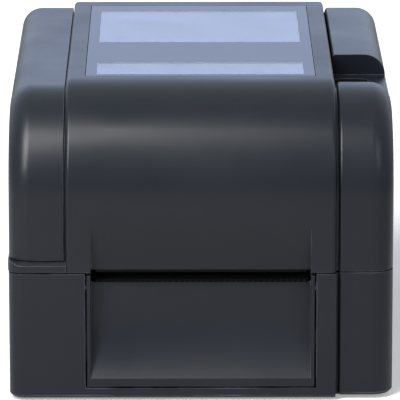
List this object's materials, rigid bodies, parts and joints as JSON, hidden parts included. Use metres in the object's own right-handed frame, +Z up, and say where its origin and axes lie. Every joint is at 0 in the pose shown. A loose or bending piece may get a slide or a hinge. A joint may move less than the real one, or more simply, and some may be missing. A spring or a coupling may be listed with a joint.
{
  "type": "label printer",
  "caption": "Desktop thermal label printer with a clamshell cover, clear window, hinged ribbon mechanism and front label exit.",
  "frame": {"origin": "Centre of the footprint, on the surface that the feet stand on.", "axes": "+X to the right as seen from the front, +Y to the rear, +Z up."},
  "size_m": [0.204, 0.28, 0.164],
  "materials": {
    "case": "fine-textured dark slate grey moulding",
    "cover": "smooth satin dark slate grey moulding",
    "rubber": "black rubber",
    "platen_rubber": "ground dark grey rubber",
    "sheet_steel": "zinc-plated sheet steel",
    "steel": "turned bright steel",
    "black_steel": "blackened steel",
    "bush_plastic": "natural bearing plastic",
    "gear_plastic": "natural acetal",
    "motor_metal": "black-painted motor can",
    "inner_plastic": "black moulded tray",
    "sensor_plastic": "black sensor housing",
    "guide_plastic": "grey moulded guide",
    "board": "green circuit board",
    "socket_plastic": "black socket plastic",
    "socket_metal": "tinned shell",
    "window": "clear glossy window with a tinted border",
    "panel_plastic": "black control panel",
    "lens": "frosted light lens",
    "button_plastic": "dark button",
    "latch_plastic": "dark latch moulding",
    "head_ceramic": "black glazed head strip",
    "aluminium": "bare aluminium",
    "spindle_plastic": "dark grey spindle"
  },
  "bodies": {
    "base": {"lower_case": "case", "right_lower_cover": "case", "rubber_feet": "rubber", "main_frame": "sheet_steel", "frame_screws": "steel", "pivot_rod": "steel", "platen_bushes": "bush_plastic", "idler_post": "steel", "platen_motor": "motor_metal", "front_exit_panel": "case", "tear_bar": "black_steel", "media_tray": "inner_plastic", "gap_sensor": "sensor_plastic", "hinge_bracket": "sheet_steel", "hinge_pin": "steel", "main_board": "board", "board_screws": "steel", "power_inlet": "socket_plastic", "usb_port": "socket_metal", "host_port": "socket_metal", "network_port": "socket_metal", "rear_panel": "sheet_steel", "switch_housing": "socket_plastic"},
    "cover": {"lid_shell": "cover", "window": "window", "left_shoulder_cover": "cover", "right_shoulder_cover": "cover", "control_panel": "panel_plastic", "control_circuit": "board", "status_light": "lens", "latch_pins": "steel"},
    "latch_right": {"cover_latch_right": "latch_plastic"},
    "latch_left": {"cover_latch_left": "latch_plastic"},
    "button": {"feed_button": "button_plastic"},
    "rocker": {"switch_rocker": "socket_plastic"},
    "platen": {"platen_axle": "steel", "platen_rubber": "platen_rubber", "platen_gear": "gear_plastic"},
    "idler": {"idler_gear": "gear_plastic"},
    "motor_rotor": {"motor_pinion": "gear_plastic"},
    "sensor_carriage": {"mark_sensor": "sensor_plastic"},
    "guide_right": {"media_guide_right": "guide_plastic"},
    "guide_left": {"media_guide_left": "guide_plastic"},
    "guide_gear": {"guide_pinion": "gear_plastic"},
    "mechanism": {"ribbon_frame": "sheet_steel", "ribbon_rods": "steel", "print_head": "head_ceramic", "head_sink": "aluminium", "head_springs": "steel", "ribbon_motor": "motor_metal"},
    "supply": {"supply_spindle": "spindle_plastic", "supply_brake": "gear_plastic"},
    "rewind": {"rewind_spindle": "spindle_plastic", "rewind_gear": "gear_plastic"},
    "ribbon_rotor": {"ribbon_pinion": "gear_plastic"}
  },
  "joints": [
    {"name": "cover_hinge", "type": "hinge", "parent": "base", "child": "cover", "pos_m": [0, 0.13, 0.0801], "axis": [-1, 0, 0], "range_deg": [0, 90]},
    {"name": "mechanism_hinge", "type": "hinge", "parent": "base", "child": "mechanism", "pos_m": [0, -0.008, 0.088], "axis": [-1, 0, 0], "range_deg": [0, 50]},
    {"name": "latch_right_press", "type": "hinge", "parent": "cover", "child": "latch_right", "pos_m": [0.0945, -0.052, 0.104], "axis": [0, 1, 0], "range_deg": [0, 7], "stiffness_Nm_per_rad": 0.5},
    {"name": "latch_left_press", "type": "hinge", "parent": "cover", "child": "latch_left", "pos_m": [-0.0945, -0.052, 0.104], "axis": [0, -1, 0], "range_deg": [0, 7], "stiffness_Nm_per_rad": 0.5},
    {"name": "feed_button_press", "type": "slide", "parent": "cover", "child": "button", "axis": [0, 0, -1], "range_m": [0, 0.001], "stiffness_N_per_m": 600},
    {"name": "power_rocker", "type": "hinge", "parent": "base", "child": "rocker", "pos_m": [0.04396, 0.1344, 0.022], "axis": [1, 0, 0], "range_deg": [0, 16]},
    {"name": "platen_spin", "type": "hinge", "parent": "base", "child": "platen", "pos_m": [0, -0.116, 0.0565], "axis": [1, 0, 0], "continuous": true},
    {"name": "idler_spin", "type": "hinge", "parent": "base", "child": "idler", "pos_m": [-0.07, -0.108, 0.04264], "axis": [1, 0, 0], "continuous": true},
    {"name": "motor_spin", "type": "hinge", "parent": "base", "child": "motor_rotor", "pos_m": [-0.07, -0.09273, 0.02737], "axis": [1, 0, 0], "continuous": true},
    {"name": "guide_right_slide", "type": "slide", "parent": "base", "child": "guide_right", "axis": [-1, 0, 0], "range_m": [0, 0.046]},
    {"name": "guide_left_slide", "type": "slide", "parent": "base", "child": "guide_left", "axis": [1, 0, 0], "range_m": [0, 0.046]},
    {"name": "guide_gear_turn", "type": "hinge", "parent": "base", "child": "guide_gear", "pos_m": [0, 0.062, 0.0064], "axis": [0, 0, 1], "range_deg": [-330, 0]},
    {"name": "sensor_slide", "type": "slide", "parent": "base", "child": "sensor_carriage", "axis": [1, 0, 0], "range_m": [-0.04, 0.04]},
    {"name": "supply_spin", "type": "hinge", "parent": "mechanism", "child": "supply", "pos_m": [0, -0.038, 0.108], "axis": [1, 0, 0], "continuous": true},
    {"name": "rewind_spin", "type": "hinge", "parent": "mechanism", "child": "rewind", "pos_m": [0, -0.096, 0.116], "axis": [1, 0, 0], "continuous": true},
    {"name": "ribbon_motor_spin", "type": "hinge", "parent": "mechanism", "child": "ribbon_rotor", "pos_m": [-0.067, -0.10701, 0.10027], "axis": [1, 0, 0], "continuous": true}
  ],
  "couplings": [
    {"joint": "mechanism_hinge", "follows": "cover_hinge", "ratio": 0.55},
    {"joint": "idler_spin", "follows": "platen_spin", "ratio": -1.5},
    {"joint": "motor_spin", "follows": "platen_spin", "ratio": 4.2857},
    {"joint": "guide_left_slide", "follows": "guide_right_slide", "ratio": 1},
    {"joint": "guide_gear_turn", "follows": "guide_right_slide", "rad_per_m": -125},
    {"joint": "ribbon_motor_spin", "follows": "rewind_spin", "ratio": -3}
  ]
}
